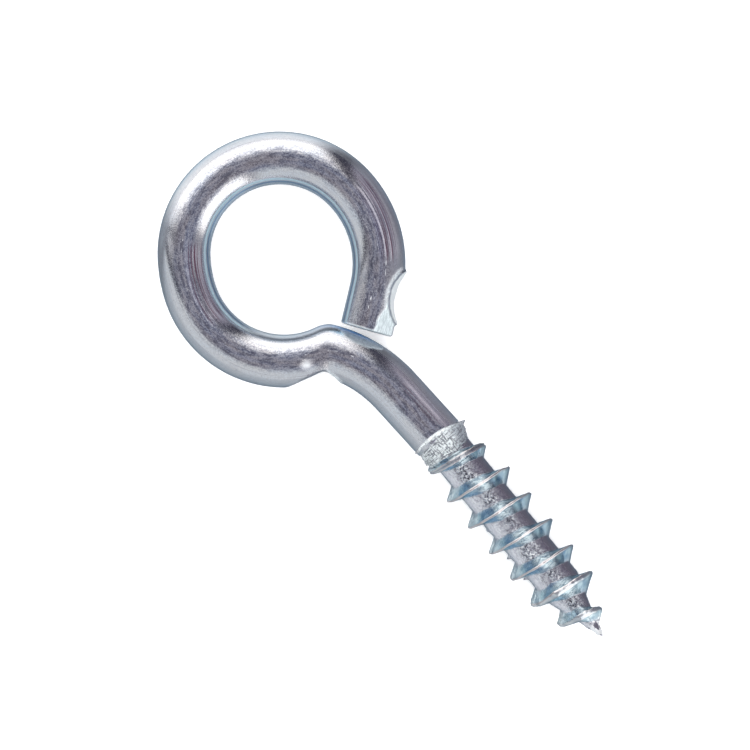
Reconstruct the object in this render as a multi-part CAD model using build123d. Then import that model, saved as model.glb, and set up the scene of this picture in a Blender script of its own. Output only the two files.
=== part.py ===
from build123d import *
import os
from math import asin, ceil, cos, degrees, pi, sin

# A screw eye of drawn wire, bent cold from one piece: an eye that closes to a narrow mouth, a short
# reverse-bent neck, a plain shank and a coarse wood thread that ends in a gimlet point.
# Lengths are in millimetres and angles in degrees. The wire is bent in the XY plane, with the shank
# along X and the point towards +X, and the finished piece is then laid on its side on Z = 0.

# Wire
WIRE_DIAMETER = 3.4

# Eye: it is bent in stretches of slightly different radius, which leaves it a little oval.
# They run from the neck's corner to the cut end, and each radius is a share of the eye's mean radius.
EYE_INSIDE_DIAMETER = 9.25
EYE_RADIUS_SHARES = (1.0, 1.36, 0.97, 1.125)
EYE_BEND_ANGLES = (97.7, 15.3, 139.6, 55.9)
MOUTH_GAP = 0.25  # from the neck to the wire's cut end
CUT_SLANT_ANGLE = 2.6  # how far the cut face is out of square with the wire

# Neck: a long bend off the shank, then a sharp corner where the eye starts
NECK_BEND_RADIUS = 8.8
NECK_BEND_ANGLE = 32.3
NECK_CORNER_ANGLE = 40.6
CORNER_STRAIGHT = 0.17  # a short straight on each side of the corner

# Pinch, a notch that the bending pin pressed into the inside of the corner
PINCH_FROM_CORNER = 0.75  # along the eye's wire
PINCH_DEPTH = 0.67  # below the wire's surface
PINCH_OPENING_ANGLE = 121.0
PINCH_FLANK_LENGTH = 1.1  # of the side towards the shank
PINCH_ROUNDING = 0.3

# Scoop that the bending jaw left on the outside of the wire near its cut end
SCOOP_RADIUS = 3.0
SCOOP_DEPTH = 0.75
SCOOP_FROM_END = 2.5
SCOOP_TILT_ANGLE = 10.0  # out of the eye's plane

# Shank, with the raised lip where the thread is cut into the wire
PLAIN_SHANK_LENGTH = 3.75
LIP_LENGTH = 0.35
LIP_HEIGHT = 0.1
COLLAR_LENGTH = 1.45  # the wire narrows over it from the lip to the thread's core

# Thread, from the collar to the tip
THREAD_LENGTH = 15.05
THREAD_PITCH = 2.14
THREAD_CORE_DIAMETER = 2.76
THREAD_HEIGHT = 0.88
THREAD_EYE_FLANK = 0.66  # axial width of the flank that faces the eye
THREAD_TIP_FLANK = 0.47
THREAD_CREST_LAND = 0.06
THREAD_LEAN_ANGLE = 2.9  # how far its axis is out of line with the shank
THREAD_START_ANGLE = 205.0  # round the axis from -Y, where the ridge leaves the lip
THREAD_RUN_IN = 2.4  # the ridge grows to its full height over this length
THREAD_RUN_OUT = 2.4  # and fades over this length at the tip
THREAD_IS_LEFT_HANDED = True
POINT_LENGTH = 4.15
TIP_DIAMETER = 0.1

wire_radius = WIRE_DIAMETER / 2
core_radius = THREAD_CORE_DIAMETER / 2
eye_mean_radius = (EYE_INSIDE_DIAMETER + WIRE_DIAMETER) / 2

# The ridge's faces are made in half turns, each through this many steps
STEPS_PER_HALF_TURN = 6
RIDGE_ROOT_SHARE = 0.8  # the ridge is rooted at this share of the core's radius
RIDGE_END_SHARE = 0.1  # it starts and ends at this share of its full size


def tube(path):
    """The wire along one straight or bend of its centre line"""
    return sweep((path ^ 0) * Circle(wire_radius), path=path)


def eye_bends(start, direction):
    """Centre lines of the eye's stretches, which turn clockwise from the neck's corner"""
    bends = []
    for radius_share, bend_angle in zip(EYE_RADIUS_SHARES, EYE_BEND_ANGLES):
        bends.append(JernArc(start, direction, radius_share * eye_mean_radius, -bend_angle))
        start = bends[-1] @ 1
        direction = bends[-1] % 1
    return bends


def eye_end(last_bend, neck):
    """Centre line of the straight that ends the eye, and the plane of its cut face"""
    direction = last_bend % 1
    normal = direction.rotate(Axis.Z, -CUT_SLANT_ANGLE)
    nearest = min(normal.dot(neck @ (step / 20)) for step in range(21))
    cut_distance = nearest - wire_radius - MOUTH_GAP
    start = last_bend @ 1
    length = (cut_distance - normal.dot(start)) / normal.dot(direction)
    end = start + direction * length
    return Line(start, end), Plane(origin=end, z_dir=normal)


def end_stretch(straight, cut_plane):
    """The eye's last straight with its slanted cut face"""
    longer = Line(straight @ 0, straight @ 1 + (straight % 1) * wire_radius)
    return split(tube(longer), bisect_by=cut_plane, keep=Keep.BOTTOM)


def pinch(corner, direction):
    """Cutter of the notch: one side lies along the eye's wire, and the other opens to the shank"""
    outward = direction.rotate(Axis.Z, 90)
    bottom = corner + direction * PINCH_FROM_CORNER + outward * (wire_radius - PINCH_DEPTH)
    eye_side = bottom + direction * 2 * WIRE_DIAMETER
    shank_side = bottom + direction.rotate(Axis.Z, PINCH_OPENING_ANGLE) * PINCH_FLANK_LENGTH
    clear_of_wire = shank_side + outward * WIRE_DIAMETER
    notch = make_face(Polyline(bottom, eye_side, clear_of_wire, shank_side, close=True))
    notch = fillet(notch.vertices().sort_by_distance(bottom)[0], PINCH_ROUNDING)
    return extrude(notch, amount=WIRE_DIAMETER, both=True)


def scoop(straight):
    """Cutter of the jaw's mark, a cylinder across the wire on the outside of the eye"""
    direction = straight % 1
    outward = direction.rotate(Axis.Z, 90).rotate(Axis((0, 0, 0), direction), SCOOP_TILT_ANGLE)
    across = direction.cross(outward)
    middle = straight @ 1 - direction * SCOOP_FROM_END
    axis_point = middle + outward * (wire_radius - SCOOP_DEPTH + SCOOP_RADIUS)
    jaw = Plane(origin=axis_point, z_dir=across) * Cylinder(SCOOP_RADIUS, 3 * WIRE_DIAMETER)
    return jaw


def core_radius_at(x):
    """Radius of the thread's core, which tapers over the point"""
    return core_radius * min(1.0, (THREAD_LENGTH - x) / POINT_LENGTH)


def ridge_share_at(x):
    """Share of its full size that the ridge has at this place along the axis"""
    grown = (x + COLLAR_LENGTH) / THREAD_RUN_IN
    left = (THREAD_LENGTH - x) / THREAD_RUN_OUT
    return max(RIDGE_END_SHARE, min(1.0, grown, left))


def ridge_section(x):
    """The four corners of the ridge's section in the half plane that it crosses at x"""
    turn = (x + COLLAR_LENGTH) / THREAD_PITCH
    hand = -1 if THREAD_IS_LEFT_HANDED else 1
    angle = hand * 2 * pi * turn + THREAD_START_ANGLE * pi / 180
    share = ridge_share_at(x)
    half_land = THREAD_CREST_LAND / 2
    crest_radius = core_radius_at(x) + THREAD_HEIGHT * share
    root_radius = RIDGE_ROOT_SHARE * core_radius_at(x)
    corners = (
        (x - (half_land + THREAD_EYE_FLANK) * share, root_radius),
        (x - half_land * share, crest_radius),
        (x + half_land * share, crest_radius),
        (x + (half_land + THREAD_TIP_FLANK) * share, root_radius),
    )
    return [Vector(place, -radius * cos(angle), -radius * sin(angle)) for place, radius in corners]


def ridge():
    """The helical ridge as a closed shell of ruled faces between its four edges"""
    start = -COLLAR_LENGTH
    end = THREAD_LENGTH - RIDGE_END_SHARE * THREAD_RUN_OUT
    half_turns = ceil(2 * (end - start) / THREAD_PITCH)
    step_count = half_turns * STEPS_PER_HALF_TURN
    sections = [ridge_section(start + (end - start) * i / step_count) for i in range(step_count + 1)]
    faces = [
        Face(Wire.make_polygon(sections[0], close=True)),
        Face(Wire.make_polygon(sections[-1], close=True)),
    ]
    for first in range(0, step_count, STEPS_PER_HALF_TURN):
        stretch = sections[first : first + STEPS_PER_HALF_TURN + 1]
        edges = [Spline([section[corner] for section in stretch]) for corner in range(4)]
        for edge, next_edge in zip(edges, edges[1:] + edges[:1]):
            faces.append(Face.make_surface_from_curves(edge, next_edge))
    return Solid(Shell(faces))


def threaded_end():
    """The collar, core, point and ridge, along X with the thread's start at the origin"""
    point_start = THREAD_LENGTH - POINT_LENGTH
    profile = Polyline(
        (-COLLAR_LENGTH, 0),
        (-COLLAR_LENGTH, wire_radius),
        (0, core_radius),
        (point_start, core_radius),
        (THREAD_LENGTH, TIP_DIAMETER / 2),
        (THREAD_LENGTH, 0),
        close=True,
    )
    core = revolve(make_face(profile), Axis.X)
    return core + ridge()


def screw_eye():
    """The whole bent wire, flat in the XY plane, with the shank's lower end at the origin"""
    shank = Line((0, 0), (-(PLAIN_SHANK_LENGTH + LIP_LENGTH), 0))
    neck = JernArc(shank @ 1, shank % 1, NECK_BEND_RADIUS, NECK_BEND_ANGLE)
    corner = neck @ 1 + (neck % 1) * CORNER_STRAIGHT
    before_corner = Line(neck @ 1, corner)
    eye_direction = (neck % 1).rotate(Axis.Z, NECK_CORNER_ANGLE)
    after_corner = Line(corner, corner + eye_direction * CORNER_STRAIGHT)
    bends = eye_bends(after_corner @ 1, eye_direction)
    straight, cut_plane = eye_end(bends[-1], neck)

    eye = end_stretch(straight, cut_plane)
    for bend in bends:
        eye += tube(bend)
    eye -= scoop(straight)
    body = eye + Pos(*corner) * Sphere(wire_radius)
    for piece in (after_corner, before_corner, neck, shank):
        body += tube(piece)
    body -= pinch(corner, eye_direction)

    lip = Plane(origin=(0, 0, 0), z_dir=(-1, 0, 0)) * Cylinder(
        wire_radius + LIP_HEIGHT, LIP_LENGTH, align=(Align.CENTER, Align.CENTER, Align.MIN)
    )
    thread = Pos(COLLAR_LENGTH, 0, 0) * Rot(0, 0, -THREAD_LEAN_ANGLE) * threaded_end()
    body = body + lip + thread

    # Lying down, it rests on the eye's far side and where the thread first reaches its full height
    far_side = min(bend.bounding_box().min.X for bend in bends)
    rise = core_radius + THREAD_HEIGHT - wire_radius
    lean = degrees(asin(rise / (THREAD_RUN_IN - far_side)))
    lying = Rot(0, -lean, 0) * body
    box = lying.bounding_box()
    return Pos(-box.center().X, -box.center().Y, -box.min.Z) * lying


os.makedirs("parts", exist_ok=True)
export_step(screw_eye(), "parts/screw_eye.step")
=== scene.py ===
from math import asin, cos, pi, radians, sin, tan

import bpy
import numpy as np
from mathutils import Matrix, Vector, noise

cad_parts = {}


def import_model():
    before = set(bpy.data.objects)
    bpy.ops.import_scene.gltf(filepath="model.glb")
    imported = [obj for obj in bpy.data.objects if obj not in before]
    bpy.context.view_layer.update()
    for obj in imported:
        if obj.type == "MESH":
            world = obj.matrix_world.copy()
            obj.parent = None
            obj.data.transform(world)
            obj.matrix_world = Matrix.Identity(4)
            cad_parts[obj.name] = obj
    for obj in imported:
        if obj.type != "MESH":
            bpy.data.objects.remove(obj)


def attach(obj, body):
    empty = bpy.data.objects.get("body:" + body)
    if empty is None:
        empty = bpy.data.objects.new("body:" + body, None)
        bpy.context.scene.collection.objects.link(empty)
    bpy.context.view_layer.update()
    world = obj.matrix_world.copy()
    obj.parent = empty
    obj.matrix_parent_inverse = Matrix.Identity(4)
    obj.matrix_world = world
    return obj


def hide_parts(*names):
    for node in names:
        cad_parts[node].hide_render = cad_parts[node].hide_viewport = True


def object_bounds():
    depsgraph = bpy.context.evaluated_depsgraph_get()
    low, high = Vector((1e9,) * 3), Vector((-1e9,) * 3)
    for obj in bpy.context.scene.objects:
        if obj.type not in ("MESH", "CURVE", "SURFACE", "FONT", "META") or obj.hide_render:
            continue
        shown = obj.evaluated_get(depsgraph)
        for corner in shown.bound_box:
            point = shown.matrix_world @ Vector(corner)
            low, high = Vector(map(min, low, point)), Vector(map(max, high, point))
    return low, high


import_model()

# The looks of a zinc-plated screw eye: its bent wire, rough collar and wood thread, which together
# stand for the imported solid, on a pale floor under soft studio light.
# Lengths are in millimetres and angles in degrees until a mesh is made. As in the part's source, the
# wire is laid out flat, with the shank along X and its lower end at the origin, and then laid down.

MM = 0.001
cad_low, cad_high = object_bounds()

# Wire
WIRE_DIAMETER = 3.4
EYE_INSIDE_DIAMETER = 9.25
EYE_RADIUS_SHARES = (1.0, 1.36, 0.97, 1.125)
EYE_BEND_ANGLES = (97.7, 15.3, 139.6, 55.9)
MOUTH_GAP = 0.25
CUT_SLANT_ANGLE = 2.6
CUT_EDGE_ROUNDING = 0.12
CUT_TIP_OVER_LENGTH = 2.0  # the mesh's rings tip over into the slanted cut face over this length
NECK_BEND_RADIUS = 8.8
NECK_BEND_ANGLE = 32.3
NECK_CORNER_ANGLE = 40.6
CORNER_STRAIGHT = 0.17
PLAIN_SHANK_LENGTH = 3.75

# Pinch on the inside of the corner, and the scoop near the cut end
PINCH_FROM_CORNER = 0.75
PINCH_DEPTH = 0.67
PINCH_OPENING_ANGLE = 121.0
PINCH_FLANK_LENGTH = 1.1
PINCH_ROUNDING = 0.3
PINCH_EDGE_ROUNDING = 0.05
PINCH_BURR = 0.05
PINCH_DENT_FROM_CORNER = 1.62  # the pin also pressed down the top of the wire beside the notch
PINCH_DENT_FROM_AXIS = 0.31
PINCH_DENT_DEPTH = 0.06
PINCH_DENT_WIDTH = 0.42
PINCH_REACH = 4.0  # nothing further along the wire is touched by it
SCOOP_RADIUS = 2.7
SCOOP_DEPTH = 0.52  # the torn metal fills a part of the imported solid's mark
SCOOP_FROM_END = 2.6
SCOOP_TILT_ANGLE = 5.0
SCOOP_BURR = 0.09
SCOOP_EDGE_ROUNDING = 0.05
SCOOP_LIP_FROM_END = 1.05  # metal that the jaw pushed out at the scoop's end
SCOOP_LIP_HEIGHT = 0.2
END_FACET_LENGTH = 2.0  # the wire is pressed flat between the scoop and its cut end
END_FACET_DEPTH = 0.17
END_FACET_TILT_ANGLE = 42.0
END_FACET_ROUNDING = 0.06
SCOOP_REACH = 6.0
NEIGHBOUR_REACH = 2.5  # how far along the wire a stretch still shapes its neighbours

# Stretches of purple drawing lines: from and to along the wire, their side of it, and their strength
STAINS = ((0.3, 4.5, -0.42, 0.5), (17.0, 23.7, -0.42, 1.0), (37.2, 43.0, 0.42, 1.0))
BLUE_AT = 8.0  # a blue patch on the neck's edge beside the cut end
RIM_REFLECTION_START = 14.0  # painted reflections lie in light and dark lines along the eye's inner edge from here
RIM_REFLECTION_LINES = (  # place and half width as shares of the wire's radius, colour, and how chalky each is
    (0.81, 0.055, (0.38, 0.58, 0.68, 1), 0.65),
    (0.905, 0.045, (0.14, 0.28, 0.46, 1), 0.25),
    (0.98, 0.04, (0.36, 0.5, 0.6, 1), 0.5),
)

# Collar
LIP_LENGTH = 0.35
LIP_HEIGHT = 0.1
LIP_SPIKE = 0.14  # a burr that stands up from the lip on the right
COLLAR_LENGTH = 1.45

# Thread
THREAD_LENGTH = 15.05
THREAD_PITCH = 2.14
THREAD_CORE_DIAMETER = 2.76
THREAD_HEIGHT = 0.88
THREAD_EYE_FLANK = 0.5  # axial width of a flank with its fillet, down to the core
THREAD_TIP_FLANK = 0.55
THREAD_FLANK_HOLLOW = 1.08  # the power of the flank's curve, 1 being straight
THREAD_CREST_LAND = 0.12
THREAD_BLUNT_LAND = 0.34  # on the first turn, and near the tip where the crest is rolled over
THREAD_FIRST_TURN_END = 0.7
THREAD_BLUNT_FROM = 9.6
THREAD_BURRS = ((5.1, 0.12), (7.3, 0.27), (9.0, 0.27))  # place and height of burrs on the left
THREAD_LEAN_ANGLE = 2.9
THREAD_START_ANGLE = 205.0
THREAD_RUN_IN = 2.4
THREAD_RUN_OUT = 2.4
THREAD_RIDGE_END = 14.15  # the last of the point is a bare cone
THREAD_SWASH = 0.13  # how far the crests lie out of square, as a shift at each side
POINT_LENGTH = 4.15
TIP_WINDING = 0.6  # the last stretch, over which the ridge winds up ever closer

wire_radius = WIRE_DIAMETER / 2
core_radius = THREAD_CORE_DIAMETER / 2
eye_mean_radius = (EYE_INSIDE_DIAMETER + WIRE_DIAMETER) / 2

# How fine the meshes are
WIRE_STATION = 0.075
WIRE_POINTS_ROUND = 112
GUIDE_SMOOTHING = 0.8
THREAD_POINTS_ROUND = 160
COLLAR_POINTS_ROUND = 200
FLANK_STEPS = (0.0, 0.08, 0.2, 0.36, 0.54, 0.7, 0.84, 0.94, 1.0)  # from the crest to the core
RIB_SHADE_STEPS = (0.36, 0.84)  # where dark lines are painted along the first turn's flank as the shade of ribs
ROOT_STEPS = np.linspace(0.0, 1.0, 17)[1:-1]

ZINC_EDGE_TINT = (0.72, 0.9, 0.97, 1)  # the zinc reflects bluish at grazing angles

# View: straight down, as the photograph looks at the flat eye
FRAME_WIDTH = 48.1
VIEW_TURN = 47.7
VIEW_CENTRE = (-2.25, -0.53, 2.2)
LENS = 200.0
SENSOR = 36.0

# Room, in metres: its light cards, how far its floor reaches each way, and its white walls
CARD_DISTANCE = 0.6
FLOOR_REACH = 3.0
WALL_REACH = 1.2
WALL_HEIGHT = 1.2


# ---- small helpers ----

def unit(angle):
    """Unit vectors in the wire's plane for these angles in radians"""
    angle = np.asarray(angle, float)
    return np.stack((np.cos(angle), np.sin(angle), np.zeros_like(angle)), axis=-1)


def ease(value, low, high):
    """0 at low, 1 at high, smooth between them"""
    share = np.clip((value - low) / (high - low), 0.0, 1.0)
    return share * share * (3 - 2 * share)


def hump(value, width):
    """A bell curve that is 1 at zero and fades over the width"""
    return np.exp(-((value / width) ** 2))


def soft_max(first, second, softness):
    """The larger of two values, rounded where they are about the same"""
    overlap = np.maximum(softness - np.abs(first - second), 0.0)
    return np.maximum(first, second) + overlap * overlap / (4 * softness)


def soft_min(first, second, softness):
    return -soft_max(-first, -second, softness)


def rough(points, scale, seed=0.0):
    """Smooth noise from about -1 to 1 at each point, with features of about 1 / scale"""
    shape = points.shape[:-1]
    flat = (points * scale + (seed, seed * 0.7, -seed)).reshape(-1, 3)
    values = np.fromiter((noise.noise(p) for p in flat), float, len(flat))
    return values.reshape(shape)


def hand_noise(count_along, points_round, cells_along, cells_round, seed):
    """Noise over a grid that goes round a wire, with this many features each way"""
    along = np.linspace(0, cells_along, count_along)[:, None]
    turn = 2 * pi * np.arange(points_round)[None, :] / points_round
    circle = cells_round / (2 * pi)
    place = np.stack(np.broadcast_arrays(along, circle * np.cos(turn), circle * np.sin(turn)), -1)
    return rough(place, 1.0, seed)


# ---- the wire's centre line ----

class Stretch:
    """One straight or bend of the centre line; turn is in radians and is 0 on a straight"""

    def __init__(self, start, heading, length, turn=0.0):
        self.start = np.asarray(start, float)
        self.heading = heading
        self.length = length
        self.turn = turn
        if turn:
            self.side = 1.0 if turn > 0 else -1.0
            self.radius = length / abs(turn)
            self.centre = self.start + self.side * self.radius * unit(heading + pi / 2)

    def at(self, along):
        """Points at these distances along the stretch"""
        along = np.asarray(along, float)
        if not self.turn:
            return self.start + along[..., None] * unit(self.heading)
        heading = self.heading + self.side * along / self.radius
        return self.centre - self.side * self.radius * unit(heading + pi / 2)

    def end(self):
        return self.at(self.length)

    def end_heading(self):
        return self.heading + self.turn

    def distance(self, points):
        """How far points are from the stretch"""
        if not self.turn:
            along = np.clip((points - self.start) @ unit(self.heading), 0.0, self.length)
            return np.linalg.norm(points - self.at(along), axis=-1)
        spoke = (points - self.centre) * (1.0, 1.0, 0.0)
        first = -self.side * unit(self.heading + pi / 2)
        across = unit(self.heading)
        swept = np.arctan2(spoke @ across, spoke @ first)
        swept = np.where(swept < -0.5 * (2 * pi - abs(self.turn)), swept + 2 * pi, swept)
        along = np.clip(swept, 0.0, abs(self.turn)) * self.radius
        return np.linalg.norm(points - self.at(along), axis=-1)


def bend(before, radius, angle):
    """The bend that follows a stretch; a positive angle turns to the left"""
    turn = radians(angle)
    return Stretch(before.end(), before.end_heading(), radius * abs(turn), turn)


def wire_layout():
    """The stretches from the collar to the cut end, the corner's place and the cut's direction"""
    shank = Stretch((0.0, 0.0, 0.0), pi, PLAIN_SHANK_LENGTH + LIP_LENGTH)
    neck = bend(shank, NECK_BEND_RADIUS, NECK_BEND_ANGLE)
    before_corner = Stretch(neck.end(), neck.end_heading(), CORNER_STRAIGHT)
    eye_heading = neck.end_heading() + radians(NECK_CORNER_ANGLE)
    corner = before_corner.end()
    stretches = [shank, neck, before_corner, Stretch(corner, eye_heading, CORNER_STRAIGHT)]
    for share, angle in zip(EYE_RADIUS_SHARES, EYE_BEND_ANGLES):
        stretches.append(bend(stretches[-1], share * eye_mean_radius, -angle))

    last = stretches[-1]
    cut_normal = unit(last.end_heading() - radians(CUT_SLANT_ANGLE))
    nearest = (neck.at(np.linspace(0, neck.length, 60)) @ cut_normal).min()
    reach = nearest - wire_radius - MOUTH_GAP - last.end() @ cut_normal
    length = reach / (unit(last.end_heading()) @ cut_normal)
    stretches.append(Stretch(last.end(), last.end_heading(), length))
    return stretches, corner, eye_heading, cut_normal


def guide_line(stretches):
    """Evenly spaced points along the centre line with its corner rounded, and their headings"""
    total = sum(s.length for s in stretches)
    count = int(total / WIRE_STATION) + 1
    fine = []
    for stretch in stretches:
        steps = max(2, int(stretch.length / (WIRE_STATION / 4)))
        fine.append(stretch.at(np.arange(steps) * stretch.length / steps))
    fine.append(stretches[-1].end()[None, :])
    fine = np.concatenate(fine)
    travelled = np.concatenate(([0.0], np.cumsum(np.linalg.norm(np.diff(fine, axis=0), axis=1))))
    even = np.linspace(0.0, travelled[-1], 4 * count)
    line = np.stack([np.interp(even, travelled, fine[:, i]) for i in range(3)], axis=-1)

    spacing = even[1]
    reach = int(4 * GUIDE_SMOOTHING / spacing)
    kernel = hump(np.arange(-reach, reach + 1) * spacing, GUIDE_SMOOTHING * 2 ** 0.5)
    kernel /= kernel.sum()
    first, last = line[1] - line[0], line[-1] - line[-2]
    before = line[0] + first * np.arange(-reach, 0)[:, None]
    after = line[-1] + last * np.arange(1, reach + 1)[:, None]
    padded = np.concatenate((before, line, after))
    smooth = np.stack([np.convolve(padded[:, i], kernel, "valid") for i in range(3)], axis=-1)
    chosen = np.linspace(0, len(smooth) - 1, count).round().astype(int)
    tangent = np.gradient(smooth, axis=0)
    heading = np.unwrap(np.arctan2(tangent[:, 1], tangent[:, 0]))
    return smooth[chosen], heading[chosen], even[chosen]


# ---- the wire's surface ----

def pinch_depth(points, corner, heading):
    """How deep points are in the notch on the corner's inside; negative outside it"""
    along, outward = unit(heading), unit(heading + pi / 2)
    bottom = corner + along * PINCH_FROM_CORNER + outward * (wire_radius - PINCH_DEPTH)
    flank_heading = heading + radians(PINCH_OPENING_ANGLE)
    from_bottom = points - bottom
    over_eye_side = from_bottom @ outward
    over_shank_side = from_bottom @ unit(flank_heading - pi / 2)
    past_flank = (from_bottom - unit(flank_heading) * PINCH_FLANK_LENGTH) @ along
    wedge = soft_min(over_eye_side, over_shank_side, PINCH_ROUNDING)
    return soft_min(wedge, past_flank, PINCH_ROUNDING)


def pinch_dent(points, corner, heading):
    """Share of the dent beside the notch, 1 in its middle"""
    up = np.array((0.0, 0.0, (wire_radius ** 2 - PINCH_DENT_FROM_AXIS ** 2) ** 0.5))
    across = unit(heading + pi / 2) * PINCH_DENT_FROM_AXIS
    middle = corner + unit(heading) * PINCH_DENT_FROM_CORNER + across + up
    return hump(np.linalg.norm(points - middle, axis=-1), PINCH_DENT_WIDTH)


def outer_side(straight, tilt_angle):
    """The direction out of the eye at its end, tilted up from the wire's plane"""
    tilt = radians(tilt_angle)
    return unit(straight.heading + pi / 2) * cos(tilt) + np.array((0.0, 0.0, sin(tilt)))


def scoop_depth(points, end_straight):
    """How deep points are in the jaw's round mark; negative outside it"""
    along = unit(end_straight.heading)
    outward = outer_side(end_straight, SCOOP_TILT_ANGLE)
    axis = np.cross(along, outward)
    middle = end_straight.end() - along * SCOOP_FROM_END
    middle = middle + outward * (wire_radius - SCOOP_DEPTH + SCOOP_RADIUS)
    from_axis = np.cross(points - middle, axis)
    return SCOOP_RADIUS - np.linalg.norm(from_axis, axis=-1)


def end_facet_depth(points, end_straight):
    """How far points are above the flat beside the cut end; negative inside the wire"""
    along = unit(end_straight.heading)
    from_end = (points - end_straight.end()) @ along
    flat = wire_radius - END_FACET_DEPTH * ease(from_end, -END_FACET_LENGTH, -0.4)
    return (points - end_straight.end()) @ outer_side(end_straight, END_FACET_TILT_ANGLE) - flat


def stain_share(travelled, turn):
    """How much each point belongs to the stretches of purple drawing lines on the wire's top"""
    share = np.zeros((len(travelled), len(turn)))
    for start, end, side, strength in STAINS:
        along = ease(travelled, start, start + 1.0) * ease(-travelled, -end, 1.0 - end)
        share += strength * along[:, None] * hump(np.cos(turn) - side, 0.3)[None, :]
    return share * ease(np.sin(turn), -0.1, 0.1)[None, :]


class BentWire:
    """Rings of spokes round the wire's guide line, and what the tools left of the wire there"""

    def __init__(self):
        self.stretches, self.corner, self.eye_heading, self.cut_normal = wire_layout()
        self.guide, heading, self.travelled = guide_line(self.stretches)
        self.end = self.stretches[-1].end()
        self.to_end = self.travelled[-1] - self.travelled
        self.turn = 2 * pi * np.arange(WIRE_POINTS_ROUND) / WIRE_POINTS_ROUND
        self.spokes = self.ring_spokes(heading)
        grid = self.spokes.shape[:2]
        self.ragged = hand_noise(*grid, self.travelled[-1] * 4.0, 18, 3.0)
        self.torn = hand_noise(*grid, self.travelled[-1] * 9.0, 30, 8.0)

        ends = np.cumsum([s.length for s in self.stretches])
        past, before = self.travelled + NEIGHBOUR_REACH, self.travelled - NEIGHBOUR_REACH
        self.near = [(past > end - s.length) & (before < end) for s, end in zip(self.stretches, ends)]
        self.by_corner = (np.abs(self.travelled - ends[2]) < PINCH_REACH)[:, None]
        self.by_end = (self.to_end < SCOOP_REACH)[:, None]

    def ring_spokes(self, heading):
        """Unit spokes of each ring; towards the cut end the rings tip over into the cut face"""
        across = unit(heading + pi / 2)
        tip_over = 1 - ease(self.to_end, 0.0, CUT_TIP_OVER_LENGTH)
        cut_across = np.array((-self.cut_normal[1], self.cut_normal[0], 0.0))
        across = across + (cut_across - across) * tip_over[:, None]
        across /= np.linalg.norm(across, axis=1, keepdims=True)
        cosine, sine = np.cos(self.turn)[None, :, None], np.sin(self.turn)[None, :, None]
        return across[:, None, :] * cosine + np.array((0.0, 0.0, 1.0)) * sine

    def points_at(self, radius):
        """Points at these distances from the guide line"""
        return self.guide[:, None, :] + self.spokes * radius[..., None]

    def cuts(self, points):
        """How deep points are in the pinch and in the marks at the end; negative outside them"""
        pinch = pinch_depth(points, self.corner, self.eye_heading) + 0.01 * self.ragged
        scoop = scoop_depth(points, self.stretches[-1]) + 0.04 * self.ragged
        facet = end_facet_depth(points, self.stretches[-1]) + 0.02 * self.ragged
        return (
            np.where(self.by_corner, pinch, -wire_radius),
            np.where(self.by_end, scoop, -wire_radius),
            np.where(self.by_end, facet, -wire_radius),
        )

    def dent(self, points):
        """Share of the dent beside the notch, which only touches the rings by the corner"""
        return np.where(self.by_corner, pinch_dent(points, self.corner, self.eye_heading), 0.0)

    def outside(self, radius):
        """Above zero outside the wire, at these distances from the guide line"""
        points = self.points_at(radius)
        tube = np.full(radius.shape, wire_radius)
        for stretch, rings in zip(self.stretches, self.near):
            tube[rings] = np.minimum(tube[rings], stretch.distance(points[rings]) - wire_radius)
        pinch, scoop, facet = self.cuts(points)
        tube = tube + PINCH_DENT_DEPTH * self.dent(points)
        tube = tube - PINCH_BURR * hump(pinch, 0.1) * self.torn
        lip = SCOOP_LIP_HEIGHT * hump(self.to_end - SCOOP_LIP_FROM_END, 0.25)[:, None]
        tube = tube - (SCOOP_BURR * (0.8 + 0.9 * self.torn) + lip) * hump(scoop, 0.16)
        past_cut = np.where(self.by_end, (points - self.end) @ self.cut_normal - 1e-4, -wire_radius)
        solid = soft_max(tube, pinch, PINCH_EDGE_ROUNDING)
        solid = soft_max(solid, facet, END_FACET_ROUNDING)
        solid = soft_max(solid, scoop, SCOOP_EDGE_ROUNDING)
        return soft_max(solid, past_cut, CUT_EDGE_ROUNDING)

    def surface(self):
        """The rings' points on the wire's surface, found by halving the range they lie in"""
        grid = self.spokes.shape[:2]
        inner, outer = np.zeros(grid), np.full(grid, 1.6 * wire_radius)
        for _ in range(26):
            middle = (inner + outer) / 2
            is_out = self.outside(middle) > 0
            outer = np.where(is_out, middle, outer)
            inner = np.where(is_out, inner, middle)
        return self.points_at(inner)

    def marks(self, points):
        """Where the zinc is torn, stained or blue, the painted highlights on the dent and on the scoop's
        wall, and the painted shade along the edges of the cuts
        """
        pinch, scoop, facet = self.cuts(points)
        cosine, sine = np.cos(self.turn), np.sin(self.turn)
        from_cut = np.where(self.by_end, (self.end - points) @ self.cut_normal, wire_radius)
        cut_edge = 1 - ease(from_cut, 0.03, 0.12)
        torn_share = 1 - ease(-np.maximum(scoop, facet), 0.02, 0.1)
        pushed_up = 0.7 * hump(scoop + 0.27, 0.1) * ease(sine, 0.3, 0.6)[None, :]
        along_eye = (points - self.corner) @ unit(self.eye_heading)
        by_shank = 1 - ease(along_eye, PINCH_FROM_CORNER - 0.3, PINCH_FROM_CORNER)
        pinch_edge = 0.3 * ease(pinch, -0.06, 0.0) + 0.7 * by_shank * hump(pinch + 0.05, 0.1)
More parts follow.
